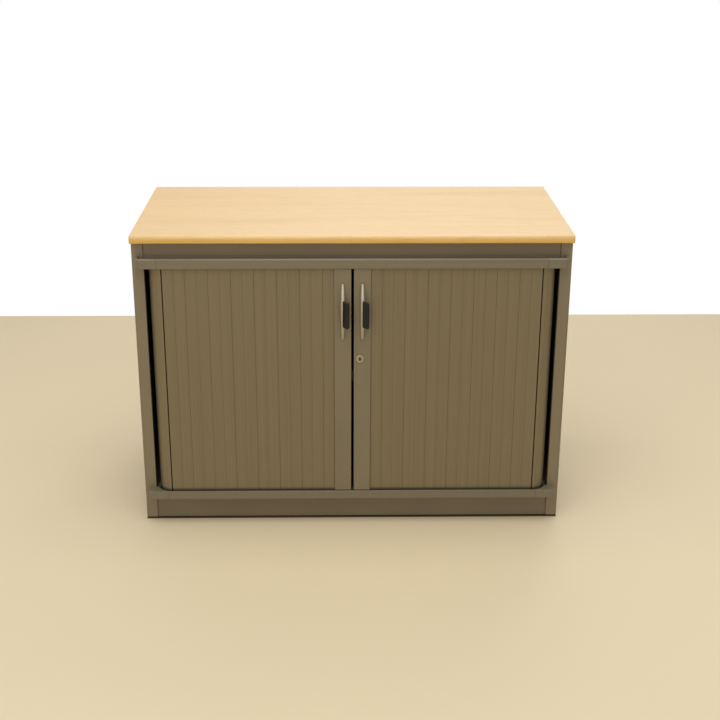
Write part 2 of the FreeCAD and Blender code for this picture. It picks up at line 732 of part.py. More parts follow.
# Handles: a bow whose tips lie on the stile, on two bosses that take screws from inside
# the stile, and a leaning grip along its right side. Both doors have the same handle.
BOSS_HEIGHTS = [f"handle_height + {share} * bow_length / 2" for share in BOSS_SHARES]


def bow_line(share):
    """How far the bow's middle line stands off the stile."""
    return f"(bow_tip_depth / 2 + bow_rise * {1 - share ** 2})"


def bow_section(name, x, share):
    swell = 1 - share ** 2
    section = doc.addObject("Part::Ellipse", name)
    width = f"(bow_tip_width + (bow_width - bow_tip_width) * {swell}) / 2"
    depth = f"(bow_tip_depth + (bow_depth - bow_tip_depth) * {swell}) / 2"
    bind(section, MajorRadius=width, MinorRadius=depth)
    height = f"handle_height + {share} * bow_length / 2"
    return locate(section, (x, f"stile_front - {bow_line(share)}", height))


def make_bow(side, x):
    loft = doc.addObject("Part::Loft", side + "_bow_loft")
    loft.Sections = [bow_section(f"{side}_bow_section_{i}", x, share) for i, share in enumerate(BOW_SHARES)]
    loft.Solid = True
    spots = list(zip(BOSS_SHARES, BOSS_HEIGHTS))
    bosses = []
    holes = []
    screws = []
    for i, (share, z) in enumerate(spots):
        boss_base = (x, f"stile_front - {bow_line(share)}", z)
        bosses.append(rod(f"{side}_boss_{i}", "boss_radius", bow_line(share), boss_base, "y"))
        tip = (x, "stile_front - handle_screw_bite", z)
        hole_radius = "handle_screw_radius + thread_clearance"
        holes.append(rod(f"{side}_boss_hole_{i}", hole_radius, "handle_screw_bite + overrun", tip, "y"))
        shank_length = "handle_screw_bite + stile_wall"
        shank = rod(f"{side}_handle_shank_{i}", "handle_screw_radius", shank_length, tip, "y")
        head_base = (x, "stile_front + stile_wall", z)
        head_radius = "2 * handle_screw_radius"
        head = rod(f"{side}_handle_head_{i}", head_radius, "handle_screw_radius", head_base, "y")
        screws.append(fuse(f"{side}_handle_screw_{i}", shank, head))
    bow = node(cut(side + "_handle_bow", fuse(side + "_bow_body", loft, *bosses), *holes))
    node(group(side + "_handle_screws", *screws))
    return bow


def origin_plane(body, role):
    return next(plane for plane in body.Origin.OriginFeatures if plane.Role == role)


def new_sketch(body, name, role):
    sketch = body.newObject("Sketcher::SketchObject", name)
    sketch.AttachmentSupport = (origin_plane(body, role), "")
    sketch.MapMode = "FlatFace"
    return sketch


def slanted_outline(sketch, offset, span, drop, height):
    """A four-sided outline with upright sides, whose far side may stand lower."""
    corners = [(0, 0), (1, 0), (1, 1), (0, 1)]
    ends = zip(corners, corners[1:] + corners[:1])
    lines = [sketch.addGeometry(Part.LineSegment(Vector(*a, 0), Vector(*b, 0)), False) for a, b in ends]
    for line, following in zip(lines, lines[1:] + lines[:1]):
        sketch.addConstraint(Sketcher.Constraint("Coincident", line, 2, following, 1))
    bottom, right, top, left = lines
    for upright in (right, left):
        sketch.addConstraint(Sketcher.Constraint("Vertical", upright))
    sketch.addConstraint(Sketcher.Constraint("Parallel", bottom, top))
    first, second = offset
    rules = [("DistanceX", (-1, 1, bottom, 1), first), ("DistanceY", (-1, 1, bottom, 1), second),
             ("DistanceX", (bottom, 1, bottom, 2), span), ("DistanceY", (left, 2, left, 1), height),
             ("DistanceY", (bottom, 2, bottom, 1), drop)]
    for kind, ends, text in rules:
        number = sketch.addConstraint(Sketcher.Constraint(kind, *ends, OUTLINE_START))
        sketch.setExpression(f"Constraints[{number}]", formula(text))


def make_grip(side, x, bow):
    body = doc.addObject("PartDesign::Body", side + "_grip_body")
    sketch = new_sketch(body, side + "_grip_outline", "XZ_Plane")
    slanted_outline(sketch, ("grip_offset", "-grip_length / 2"), "grip_width", "grip_drop", "grip_length")
    pad = body.newObject("PartDesign::Pad", side + "_grip_pad")
    pad.Profile = sketch
    bind(pad, Length="grip_thickness")
    doc.recompute()
    far_side = NUMBER["grip_offset"] + NUMBER["grip_width"]
    far_bottom = -NUMBER["grip_length"] / 2 - NUMBER["grip_drop"]
    far_ends = (far_bottom, far_bottom + NUMBER["grip_length"])
    corner = body.newObject("PartDesign::Fillet", side + "_grip_corner")
    corner.Base = (pad, [f"Edge{i}" for z in far_ends for i in edges_at(pad.Shape, x=far_side, z=z)])
    bind(corner, Radius="grip_corner_radius")
    doc.recompute()
    edge = body.newObject("PartDesign::Fillet", side + "_grip_edge")
    edge.Base = (corner, [f"Edge{i}" for i in range(1, len(corner.Shape.Edges) + 1)])
    bind(edge, Radius="grip_edge_radius")
    body.Placement = FreeCAD.Placement(Vector(), Rotation(UP, -GRIP_LEAN))
    across = f"(grip_offset + grip_width - grip_edge_radius) * sin({GRIP_LEAN})"
    through = f"(grip_thickness - grip_edge_radius) * cos({GRIP_LEAN})"
    reach = f"{across} + {through} + grip_edge_radius"
    locate(body, (x, f"stile_front - grip_reach + {reach}", "handle_height"))
    node(cut(side + "_handle_grip", body, bow))


def make_handles():
    for side, x in (("left", "-stile_middle"), ("right", "stile_middle")):
        make_grip(side, x, make_bow(side, x))


# Lock: a barrel through the right stile, held by a nut, with a turning plug that carries
# a notched hook. A quarter turn brings the notch up round the tab of the left stile's keeper.
def make_lock():
    x = "lock_offset"
    z = "lock_height"
    bezel_front = "stile_front - bezel_thickness"
    bezel = rod("bezel", "bezel_radius", "bezel_thickness", (x, bezel_front, z), "y")
    rim = {"y": NUMBER["stile_front"] - NUMBER["bezel_thickness"]}
    bezel = rounded("bezel_rounded", bezel, NUMBER["bezel_edge_radius"], rim)
    barrel = rod("barrel", "barrel_radius", "barrel_back - stile_front", (x, "stile_front", z), "y")
    bore_length = "barrel_back - stile_front + bezel_thickness + 2 * overrun"
    bore_base = (x, f"{bezel_front} - overrun", z)
    bore = rod("plug_bore", "plug_radius + plug_clearance", bore_length, bore_base, "y")
    node(cut("lock_barrel", fuse("barrel_body", bezel, barrel), bore))

    hexagon = bind(doc.addObject("Part::Prism", "lock_nut_blank"), Circumradius="lock_nut_radius",
                   Height="lock_nut_thickness")
    hexagon.Placement = FreeCAD.Placement(Vector(), ALONG["y"])
    locate(hexagon, (x, "stile_back", z))
    nut_hole_length = "lock_nut_thickness + 2 * overrun"
    nut_hole_base = (x, "stile_back - overrun", z)
    nut_hole = rod("lock_nut_hole", "barrel_radius + thread_clearance", nut_hole_length, nut_hole_base, "y")
    node(cut("lock_nut", hexagon, nut_hole))

    plug_front = f"{bezel_front} + plug_recess"
    plug = rod("plug", "plug_radius", f"hook_front - ({plug_front})", (x, plug_front, z), "y")
    keyway_y = (f"{plug_front} - overrun", f"{plug_front} + keyway_depth")
    keyway = box("keyway", between(x, "keyway_width / 2"), keyway_y, between(z, "keyway_height / 2"))
    thread_base = (x, "hook_front - hook_screw_bite", z)
    thread_radius = "screw_radius + thread_clearance"
    thread = rod("plug_thread", thread_radius, "hook_screw_bite + overrun", thread_base, "y")
    node(cut("lock_plug", plug, keyway, thread))

    hook_y = ("hook_front", "hook_back")
    arm = box("hook_arm", between(x, "hook_width / 2"), hook_y, (f"{z} - hook_length", z))
    eye = rod("hook_eye", "hook_width / 2", "hook_thickness", (x, "hook_front", z), "y")
    cut_y = ("hook_front - overrun", "hook_back + overrun")
    notch_x = (f"{x} - hook_width / 2 - overrun", f"{x} - hook_width / 2 + notch_depth")
    notch = box("hook_notch", notch_x, cut_y, between(f"{z} - notch_reach", "notch_width / 2"))
    hole_base = (x, "hook_front - overrun", z)
    hole = rod("hook_hole", thread_radius, "hook_thickness + 2 * overrun", hole_base, "y")
    node(cut("lock_hook", fuse("hook_plate", arm, eye), notch, hole))
    shank = rod("hook_shank", "screw_radius", "hook_screw_bite + hook_thickness", thread_base, "y")
    head = rod("hook_screw_head", "screw_head_radius", "screw_head_height", (x, "hook_back", z), "y")
    node(fuse("lock_hook_screw", shank, head))

    tab_x = f"{x} - notch_reach"
    plate_y = ("stile_back", "stile_back + keeper_plate_thickness")
    plate_x = ("-stile_inner - stile_wall - keeper_plate_width", "-stile_inner - stile_wall")
    plate = box("keeper_plate", plate_x, plate_y, between(z, "keeper_plate_height / 2"))
    tab_z = (f"{z} + keeper_tab_rise", f"{z} + keeper_tab_rise + keeper_tab_height")
    tab = box("keeper_tab", between(tab_x, "keeper_tab_width / 2"),
              (plate_y[1], "hook_back + keeper_tab_overlap"), tab_z)
    node(fuse("lock_keeper", plate, tab))


# Inside: slotted liners that wall off the pockets, and a hemmed shelf on four clips.
def make_liners():
    body = doc.addObject("PartDesign::Body", "left_liner")
    outline = new_sketch(body, "liner_outline", "YZ_Plane")
    height = "top_rail_top - deck_top"
    slanted_outline(outline, ("liner_front", "deck_top"), "track_end - liner_front", "0", height)
    pad = body.newObject("PartDesign::Pad", "liner_pad")
    pad.Profile = outline
    bind(pad, Length="sheet_thickness")
    solid = pad
    for row in ("front_slots", "rear_slots"):
        sketch = new_sketch(body, row + "_outline", "YZ_Plane")
        offset = (f"{row} - slot_width / 2", "deck_top + slot_start - slot_height")
        slanted_outline(sketch, offset, "slot_width", "0", "slot_height")
        pocket = body.newObject("PartDesign::Pocket", row + "_pocket")
        pocket.Profile = sketch
        pocket.Type = "ThroughAll"
        pocket.Midplane = True
        doc.recompute()
        pattern = body.newObject("PartDesign::LinearPattern", row + "_pattern")
        pattern.Originals = [pocket]
        pattern.Direction = (sketch, ["V_Axis"])
        bind(pattern, Length="slot_pitch * (slot_count - 1)", Occurrences="slot_count")
        body.Tip = pattern
        doc.recompute()
        if not pattern.Shape.Volume < solid.Shape.Volume:
            raise ValueError(f"{row} cut nothing from the liner")
        solid = pattern
    locate(body, ("-liner_outer", "0", "0"))
    node(body)
    node(mirror("right_liner", body))


def make_shelf():
    side_x = ("-shelf_side", "shelf_side")
    top = "shelf_bottom + sheet_thickness"
    deck = box("shelf_deck", side_x, ("shelf_front", "shelf_back"), ("shelf_bottom", top))
    hem_z = ("shelf_bottom - shelf_hem", top)
    front_hem = box("shelf_front_hem", side_x, ("shelf_front", "shelf_front + sheet_thickness"), hem_z)
    back_hem = box("shelf_back_hem", side_x, ("shelf_back - sheet_thickness", "shelf_back"), hem_z)
    node(fuse("shelf", deck, front_hem, back_hem))

    left_clips = []
    for row in ("front_slots", "rear_slots"):
        wide = between(row, "clip_width / 2")
        leaf_x = ("-liner_inner", "-liner_inner + clip_thickness")
        leaf = box(row + "_clip_leaf", leaf_x, wide, ("shelf_bottom - clip_height", "shelf_bottom"))
        tab_z = ("shelf_bottom - clip_thickness", "shelf_bottom")
        tab = box(row + "_clip_tab", ("-liner_inner", "-liner_inner + clip_reach"), wide, tab_z)
        hook_x = ("-liner_outer - clip_hook_reach", "-liner_inner")
        slot_bottom = "shelf_bottom - slot_height"
        hook_z = (f"{slot_bottom} + running_gap", f"{slot_bottom} + clip_hook_height")
        hook = box(row + "_clip_hook", hook_x, between(row, "clip_hook_width / 2"), hook_z)
        left_clips.append(fuse(row + "_clip", leaf, tab, hook))
    clips = group("left_clips", *left_clips)
    node(group("shelf_clips", clips, mirror("right_clips", clips)))


# Feet: a pad on a threaded stem that turns in a nut, on a bracket fixed to the side panel.
FOOT_ROWS = {"front": "carcass_front + foot_setback", "rear": "carcass_back - foot_setback"}


def make_feet():
    brackets = []
    nuts = []
    for row, y in FOOT_ROWS.items():
        x = "-foot_x"
        stem_hole = "stem_radius + stem_clearance"
        rim = rod(row + "_foot_rim", "foot_pad_radius", "foot_rim_height", (x, y, "0"))
        neck = bind(doc.addObject("Part::Cone", row + "_foot_neck"), Radius1="foot_pad_radius",
                    Radius2="foot_neck_radius", Height="foot_pad_height - foot_rim_height")
        locate(neck, (x, y, "foot_rim_height"))
        socket = rod(row + "_foot_socket", stem_hole, "foot_pad_height", (x, y, "foot_rim_height"))
        left_pad = node(cut(f"{row}_left_foot_pad", fuse(row + "_foot_body", rim, neck), socket))
        stem_base = (x, y, "foot_rim_height")
        stem_height = "stem_top - foot_rim_height"
        left_stem = node(rod(f"{row}_left_foot_stem", "stem_radius", stem_height, stem_base))
        node(mirror(f"{row}_right_foot_pad", left_pad))
        node(mirror(f"{row}_right_foot_stem", left_stem))

        wide = between(y, "bracket_width / 2")
        leg_x = ("-inner_side", "-inner_side + bracket_thickness")
        leg = box(row + "_bracket_leg", leg_x, wide, ("bracket_height", "bracket_height + bracket_leg"))
        shelf_z = ("bracket_height", "bracket_height + bracket_thickness")
        ledge = box(row + "_bracket_ledge", ("-inner_side", "-half_width + bracket_reach"), wide, shelf_z)
        hole_base = (x, y, "bracket_height - overrun")
        hole_radius = "stem_radius + screw_clearance"
        hole = rod(row + "_bracket_hole", hole_radius, "bracket_thickness + 2 * overrun", hole_base)
        brackets.append(cut(row + "_bracket", fuse(row + "_bracket_body", leg, ledge), hole))
        blank = bind(doc.addObject("Part::Prism", row + "_foot_nut_blank"), Circumradius="foot_nut_radius",
                     Height="foot_nut_thickness")
        locate(blank, (x, y, shelf_z[1]))
        nut_hole_base = (x, y, f"{shelf_z[1]} - overrun")
        nut_hole = rod(row + "_foot_nut_hole", stem_hole, "foot_nut_thickness + 2 * overrun", nut_hole_base)
        nuts.append(cut(row + "_foot_nut", blank, nut_hole))
    left_brackets = group("left_foot_brackets", *brackets)
    node(group("foot_brackets", left_brackets, mirror("right_foot_brackets", left_brackets)))
    left_nuts = group("left_foot_nuts", *nuts)
    node(group("foot_nuts", left_nuts, mirror("right_foot_nuts", left_nuts)))


def export():
    doc.recompute()
    failed = [item.Name for item in doc.Objects if {"Invalid", "Error"} & set(item.State)]
    bad = [item.Name for item in nodes if item.Shape.isNull() or not item.Shape.isValid()]
    if failed or bad:
        raise ValueError(f"failed: {failed}; not valid: {bad}")
    os.makedirs("parts", exist_ok=True)
    for item in nodes:
        item.Shape.exportStep(f"parts/{item.Label}.step")


make_side_panels()
make_back_panel()
make_pans()
make_infills()
make_top()
make_rails()
make_curtains()
make_stiles()
make_handles()
make_lock()
make_liners()
make_shelf()
make_feet()
export()
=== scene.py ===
import bmesh
import bpy
import json
import math
from mathutils import Matrix, Vector


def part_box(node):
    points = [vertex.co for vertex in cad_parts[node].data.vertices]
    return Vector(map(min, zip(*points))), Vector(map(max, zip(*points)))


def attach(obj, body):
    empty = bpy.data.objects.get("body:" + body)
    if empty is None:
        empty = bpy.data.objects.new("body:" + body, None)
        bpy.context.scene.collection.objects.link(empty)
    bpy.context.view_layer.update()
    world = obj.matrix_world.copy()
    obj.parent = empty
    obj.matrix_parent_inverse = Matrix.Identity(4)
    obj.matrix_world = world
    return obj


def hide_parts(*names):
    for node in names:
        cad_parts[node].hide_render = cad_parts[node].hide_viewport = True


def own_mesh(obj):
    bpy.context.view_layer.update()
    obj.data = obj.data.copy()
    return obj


# Looks of the tambour cabinet, in metres, in the frame of the model:
# +X to the right, +Y to the back, +Z up, floor at zero.

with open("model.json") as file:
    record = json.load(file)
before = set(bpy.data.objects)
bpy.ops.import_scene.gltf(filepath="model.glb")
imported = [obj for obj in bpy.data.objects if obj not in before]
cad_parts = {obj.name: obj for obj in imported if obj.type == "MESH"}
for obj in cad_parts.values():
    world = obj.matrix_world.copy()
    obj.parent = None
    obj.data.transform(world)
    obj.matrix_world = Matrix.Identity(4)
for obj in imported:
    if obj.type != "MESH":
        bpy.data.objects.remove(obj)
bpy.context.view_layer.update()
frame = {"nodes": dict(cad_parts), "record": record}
MM = 0.001

# The camera that the photograph's edges fit; its lens and sensor are in millimetres
CAMERA_PLACE = Vector((-0.0349, -3.0025, 1.4732))
CAMERA_YAW = math.radians(-1.078)
CAMERA_PITCH = math.radians(20.813)
CAMERA_ROLL = math.radians(0.195)
CAMERA_LENS = 64.106
SENSOR_WIDTH = 36

# Stage: the field below the cabinet is a painted shadow that keeps a share of the floor's colour
FLOOR_REACH = 7.0
FLOOR_BACK_EDGE = 1.322
FLOOR_COLOUR = (252, 234, 196)
FLOOR_ROUGHNESS = 0.6
FLOOR_GLOSS = 0.5
PAINTED_SHADOW_SHARE = 0.2
PAINTED_SHADOW_GLOSS = 0.0

# Light: softboxes as name, place, aim, width, height and power
WHITE = (1.0, 1.0, 1.0, 1.0)
AMBIENT = 0.26
LAMP_COLOUR = (1.0, 0.98, 0.95)
FRONT_AIM = (0, -0.2, 0.4)
LAMPS = (
    ("low_front_light", (-0.8, -3.3, 1.2), FRONT_AIM, 2.4, 1.0, 12.6),
    ("high_front_light", (-0.5, -2.7, 2.9), FRONT_AIM, 2.8, 1.2, 12.5),
    ("upper_light", (-0.1, -1.7, 3.1), FRONT_AIM, 3.4, 1.4, 18),
    ("ceiling_light", (0.0, -0.3, 3.2), (0, -0.3, 0), 3.4, 1.8, 32),
    ("back_light", (0.6, 2.6, 2.6), (0, 0, 0.4), 2.4, 1.8, 21.3),
)

# Curtains: joints and fine grooves by turns between the slats, one open joint at the bend
SLAT_COUNT = 15
SLAT_JOINT = 0.45 * MM
JOINT_DEPTH = 2.0 * MM
SLAT_GROOVE = 0.24 * MM
GROOVE_DEPTH = 0.7 * MM
BEND_JOINT = 2.7 * MM
BEND_JOINT_DEPTH = 5.2 * MM
SLAT_EDGE_RADIUS = 0.35 * MM
SLAT_BACK_BEVEL = 3.2 * MM
SLAT_CROWN = 0.1 * MM
WEB_THICKNESS = 1.2 * MM
BEND_X = 431.5 * MM
BEND_RADIUS = 28.0 * MM
BEND_LENGTH = BEND_RADIUS * math.pi / 2
BEND_STEPS = 24
ARC_STEPS = 3
CROWN_STEPS = 6

# Small hardware
ROUND_STEPS = 32
RECESS_REACH_SHARE = 0.52
RECESS_WIDTH_SHARE = 0.15
RECESS_DEPTH_SHARE = 0.6
HEAD_TO_SHANK = 2
HEAD_FLAT_SHARE = 0.72
HEAD_STEPS = 4
SCREW_RADIUS = 2.0 * MM
SCREW_HEAD_HEIGHT = 2.2 * MM
RIVET_RADIUS = 1.6 * MM
RIVET_HEAD_HEIGHT = 1.2 * MM
RIVET_BORE_SHARE = 0.28
RIVET_FLAT_TO_BORE = 1.5
PAD_RIM_HEIGHT = 3.0 * MM
PAD_NECK_RADIUS = 8.0 * MM
PAD_SCALLOPS = 16
PAD_SCALLOP_DEPTH = 0.6 * MM
THREAD_PITCH = 1.25 * MM
THREAD_DEPTH = 0.6 * MM

# Edges of all pieces
EDGE_SOFTNESS = 0.5 * MM
EDGE_SEGMENTS = 2
EDGE_ANGLE = math.radians(40)
CREASE_ANGLE = math.radians(35)
WELD_REACH = 0.01 * MM


# Materials

class Grain:
    """A noise: cycles per metre, octaves of detail, and the band of its values that shows."""

    def __init__(self, scale, detail=3.0, band=(0.3, 0.7)):
        self.scale = scale
        self.detail = detail
        self.band = band


# Scales of a texture along X, Y and Z, small along the lines that it draws
EVEN = (1.0, 1.0, 1.0)
UPRIGHT_LINES = (1.0, 1.0, 0.004)
LENGTHWISE_LINES = (0.004, 1.0, 1.0)

# Powder coat: each grain with the range of colour, roughness or relief that it gives
PAINT_CLOUDS = Grain(5.0, 4.0)
PAINT_CLOUD_TINTS = (0.94, 1.06)
PAINT_SPECKS = Grain(1400.0, 2.0, (0.35, 0.65))
PAINT_SPECK_SHARES = (0.93, 1.0)
PAINT_RUB = Grain(14.0, 5.0, (0.3, 0.75))
PAINT_RUB_SWING = (-0.02, 0.04)
PAINT_PEEL = Grain(650.0, 2.0)
PAINT_PEEL_HEIGHT = 0.12 * MM
PAINT_WAVES = Grain(30.0)
PAINT_WAVE_HEIGHT = 0.05 * MM

# Drawn plastic
PLASTIC_LINES = Grain(500.0, band=(0.25, 0.75))
PLASTIC_LINE_TINTS = (0.93, 1.05)
PLASTIC_LINE_HEIGHT = 0.03 * MM
PLASTIC_STREAKS = Grain(130.0, band=(0.35, 0.65))
PLASTIC_STREAK_SHARES = (0.92, 1.0)
PLASTIC_WEAR = Grain(20.0, 5.0, (0.3, 0.75))
PLASTIC_WEAR_SWING = (-0.05, 0.08)
PLASTIC_PITS = Grain(1200.0, 1.0)
PLASTIC_PIT_HEIGHT = 0.03 * MM

# Beech
BEECH_FIGURE = Grain(10.0, 4.0)
BEECH_FIGURE_SCALES = (0.12, 1.6, 1.6)
BEECH_FIGURE_WARP = 0.4
BEECH_FIGURE_MIDDLE = 0.5
BEECH_LATE_TINT = 1.04
BEECH_PORES = Grain(700.0, 2.0, (0.3, 0.55))
BEECH_PORE_SCALES = (0.03, 1.0, 1.0)
BEECH_PORE_SHARES = (0.9, 1.0)
BEECH_PORE_HEIGHT = 0.02 * MM
BEECH_GLOSS_BAND = (0.3, 0.7)
BEECH_GLOSS_SWING = (0.1, 0.0)
BEECH_FLECK_DETAIL = 1.0
BEECH_FLECK_BAND = (0.66, 0.74)
BEECH_FLECK_SCALES = (0.16, 1.0, 1.0)
BEECH_FLECK_SHARES = (0.0, 0.4)
BEECH_FLECK_TINT = 0.72
BEECH_FIBRES = Grain(900.0, 2.0)
BEECH_FIBRE_HEIGHT = 0.02 * MM

# The heights between which the top's edging takes on the crown colours: the upper side's colour
# over the rounding, brightened as a painted highlight
CROWN_LOW = 702.5 * MM
CROWN_HIGH = 708.0 * MM

# Black moulding
BLACK_GLOSS = 0.3
BLACK_GRAIN = Grain(1500.0, 2.0, (0.35, 0.7))
BLACK_GRAIN_TINTS = (0.7, 1.25)
BLACK_GRAIN_HEIGHT = 0.06 * MM
BLACK_PATCHES = Grain(60.0)
BLACK_ROUGHNESS = (0.42, 0.58)

# Metal
METAL_LINES = Grain(900.0)
METAL_LINE_TINTS = (0.86, 1.02)
METAL_LINE_HEIGHT = 0.01 * MM
METAL_CLOUDS = Grain(120.0, 4.0)
METAL_CLOUD_SWING = (-0.06, 0.1)

# Floor
FLOOR_CLOUDS = Grain(1.5)
FLOOR_CLOUD_TINTS = (0.98, 1.0)

# Shades: axis, near and far distance along it from the origin, and the shares of the colour
# that are left at both
# Painted shade: the slats darker at their foot, just above the bottom rail's lip
SLAT_FOOT_PAINTED_SHADE = ("Z", 87.5 * MM, 93.5 * MM, 0.3, 1.0)
# Painted shade: the bend darker towards its outer edge, where it turns into the pocket
BEND_PAINTED_SHADE = ("X", 452.5 * MM, 462.5 * MM, 1.0, 0.16)
PLINTH_SHADE = ("Z", 66.0 * MM, 600.0 * MM, 0.83, 1.0)

# Places of the sockets of a colour mix
MIX_FACTOR = 0
MIX_FIRST = 6
MIX_SECOND = 7
MIX_RESULT = 2


def srgb(red, green, blue):
    """A colour written in 0 to 255, as linear light."""
    def linear(value):
        share = value / 255
        return share / 12.92 if share <= 0.04045 else ((share + 0.055) / 1.055) ** 2.4
    return (linear(red), linear(green), linear(blue), 1.0)


def tint(colour, factor):
    return tuple(channel * factor for channel in colour[:3]) + (1.0,)


def tints(colour, factors):
    return [tint(colour, factor) for factor in factors]


def swing(value, offsets):
    return [value + offset for offset in offsets]


class Surface:
    """A material and short ways to add its nodes."""

    def __init__(self, name, **inputs):
        self.material = bpy.data.materials.new(name)
        self.material.use_nodes = True
        self.tree = self.material.node_tree
        self.shader = self.tree.nodes["Principled BSDF"]
        for socket, value in inputs.items():
            self.shader.inputs[socket.replace("_", " ")].default_value = value
        self.place = self.tree.nodes.new("ShaderNodeTexCoord").outputs["Object"]

    def link(self, source, target):
        self.tree.links.new(source, target)

    def drive(self, socket, source):
        self.link(source, self.shader.inputs[socket])

    def noise(self, grain, scales=EVEN, warp=0.0):
        """A grain in the piece's own coordinates, times a scale along each axis."""
        mapping = self.tree.nodes.new("ShaderNodeMapping")
        mapping.inputs["Scale"].default_value = scales
        self.link(self.place, mapping.inputs["Vector"])
        texture = self.tree.nodes.new("ShaderNodeTexNoise")
        texture.inputs["Scale"].default_value = grain.scale
        texture.inputs["Detail"].default_value = grain.detail
        texture.inputs["Distortion"].default_value = warp
        self.link(mapping.outputs["Vector"], texture.inputs["Vector"])
        return texture.outputs["Fac"]

    def span_share(self, axis, near, far):
        """Zero up to the near distance from the origin along an axis, one past the far one."""
        split = self.tree.nodes.new("ShaderNodeSeparateXYZ")
        self.link(self.place, split.inputs["Vector"])
        distance = self.tree.nodes.new("ShaderNodeMath")
        distance.operation = "ABSOLUTE"
        self.link(split.outputs[axis], distance.inputs[0])
        span = self.tree.nodes.new("ShaderNodeMapRange")
        span.inputs["From Min"].default_value = near
        span.inputs["From Max"].default_value = far
        self.link(distance.outputs[0], span.inputs["Value"])
        return span.outputs["Result"]

    def ramp(self, source, *stops):
        """Maps a value through (place, colour or grey) stops."""
        mapper = self.tree.nodes.new("ShaderNodeValToRGB")
        elements = mapper.color_ramp.elements
        while len(elements) < len(stops):
            elements.new(1.0)
        for element, (place, value) in zip(elements, stops):
            element.position = place
            element.color = value if isinstance(value, tuple) else (value, value, value, 1.0)
        self.link(source, mapper.inputs["Fac"])
        return mapper.outputs["Color"]

    def spread(self, source, band, low, high):
        """Maps a band of a value to the range between two colours or greys."""
        return self.ramp(source, (band[0], low), (band[1], high))

    def mix(self, factor, first, second, kind="MIX"):
        """Mixes two colours, each a socket or a plain colour, by a socket or a number."""
        mixer = self.tree.nodes.new("ShaderNodeMix")
        mixer.data_type = "RGBA"
        mixer.blend_type = kind
        for place, value in ((MIX_FACTOR, factor), (MIX_FIRST, first), (MIX_SECOND, second)):
            if isinstance(value, (tuple, float)):
                mixer.inputs[place].default_value = value
            else:
                self.link(value, mixer.inputs[place])
        return mixer.outputs[MIX_RESULT]

    def multiply(self, first, second):
        return self.mix(1.0, first, second, "MULTIPLY")

    def shaded(self, colour, shades):
        """A colour that each shade darkens along its axis."""
        for axis, near, far, first, last in shades:
            light = self.spread(self.span_share(axis, near, far), (0.0, 1.0), first, last)
            colour = self.multiply(colour, light)
        return colour

    def bump(self, *layers):
        """Stacks (height, distance) layers of relief on the shader's normal."""
        normal = None
        for height, distance in layers:
            relief = self.tree.nodes.new("ShaderNodeBump")
            relief.inputs["Distance"].default_value = distance
            relief.inputs["Strength"].default_value = 1.0
            self.link(height, relief.inputs["Height"])
            if normal is not None:
                self.link(normal, relief.inputs["Normal"])
            normal = relief.outputs["Normal"]
        self.drive("Normal", normal)


def paint_surface(name, colour, roughness, *shades):
    """Powder coat: an even colour with faint clouds, orange peel and rubbed patches."""
    surface = Surface(name)
    clouds = surface.noise(PAINT_CLOUDS)
    cloudy = surface.spread(clouds, PAINT_CLOUDS.band, *tints(colour, PAINT_CLOUD_TINTS))
    specks = surface.noise(PAINT_SPECKS)
    speckle = surface.spread(specks, PAINT_SPECKS.band, *PAINT_SPECK_SHARES)
    surface.drive("Base Color", surface.shaded(surface.multiply(cloudy, speckle), shades))
    rubbed = surface.noise(PAINT_RUB)
    polish = surface.spread(rubbed, PAINT_RUB.band, *swing(roughness, PAINT_RUB_SWING))
    surface.drive("Roughness", polish)
    surface.bump((surface.noise(PAINT_PEEL), PAINT_PEEL_HEIGHT),
                 (surface.noise(PAINT_WAVES), PAINT_WAVE_HEIGHT))
    return surface.material


def plastic_surface(name, colour, roughness, scales, *shades):
    """Extruded or moulded plastic with fine draw lines along one axis."""
    surface = Surface(name)
    lines = surface.noise(PLASTIC_LINES, scales)
    lined = surface.spread(lines, PLASTIC_LINES.band, *tints(colour, PLASTIC_LINE_TINTS))
    broad = surface.noise(PLASTIC_STREAKS, scales)
    streaks = surface.spread(broad, PLASTIC_STREAKS.band, *PLASTIC_STREAK_SHARES)
    surface.drive("Base Color", surface.shaded(surface.multiply(lined, streaks), shades))
    worn = surface.noise(PLASTIC_WEAR)
    polish = surface.spread(worn, PLASTIC_WEAR.band, *swing(roughness, PLASTIC_WEAR_SWING))
    surface.drive("Roughness", polish)
    surface.bump((lines, PLASTIC_LINE_HEIGHT), (surface.noise(PLASTIC_PITS), PLASTIC_PIT_HEIGHT))
    return surface.material


def beech_surface(name, woods, roughness, fleck_scale, crown=None):
    """Steamed beech: straight figure along X with short dark ray flecks and fine pores.

    Woods is a (pale, deep) pair of colours, and a crown is the pair that takes over towards the
    top of the edge: the top's colour over the rounding, brightened as a painted highlight.
    """
    surface = Surface(name)
    figure = surface.noise(BEECH_FIGURE, BEECH_FIGURE_SCALES, BEECH_FIGURE_WARP)
    first, last = BEECH_FIGURE.band

    def figured(pale, deep):
        return surface.ramp(figure, (first, deep), (BEECH_FIGURE_MIDDLE, pale),
                            (last, tint(deep, BEECH_LATE_TINT)))

    base = figured(*woods)
    if crown:
        rise = surface.span_share("Z", CROWN_LOW, CROWN_HIGH)
        base = surface.mix(rise, base, figured(*crown))
    pores = surface.noise(BEECH_PORES, BEECH_PORE_SCALES)
    pored = surface.multiply(base, surface.spread(pores, BEECH_PORES.band, *BEECH_PORE_SHARES))
    flecks = surface.noise(Grain(fleck_scale, BEECH_FLECK_DETAIL), BEECH_FLECK_SCALES)
    fleck_mask = surface.spread(flecks, BEECH_FLECK_BAND, *BEECH_FLECK_SHARES)
    fleck_colour = tint(woods[1], BEECH_FLECK_TINT)
    surface.drive("Base Color", surface.mix(fleck_mask, pored, fleck_colour))
    gloss = surface.spread(pores, BEECH_GLOSS_BAND, *swing(roughness, BEECH_GLOSS_SWING))
    surface.drive("Roughness", gloss)
    surface.bump((pores, BEECH_PORE_HEIGHT), (surface.noise(BEECH_FIBRES), BEECH_FIBRE_HEIGHT))
    return surface.material


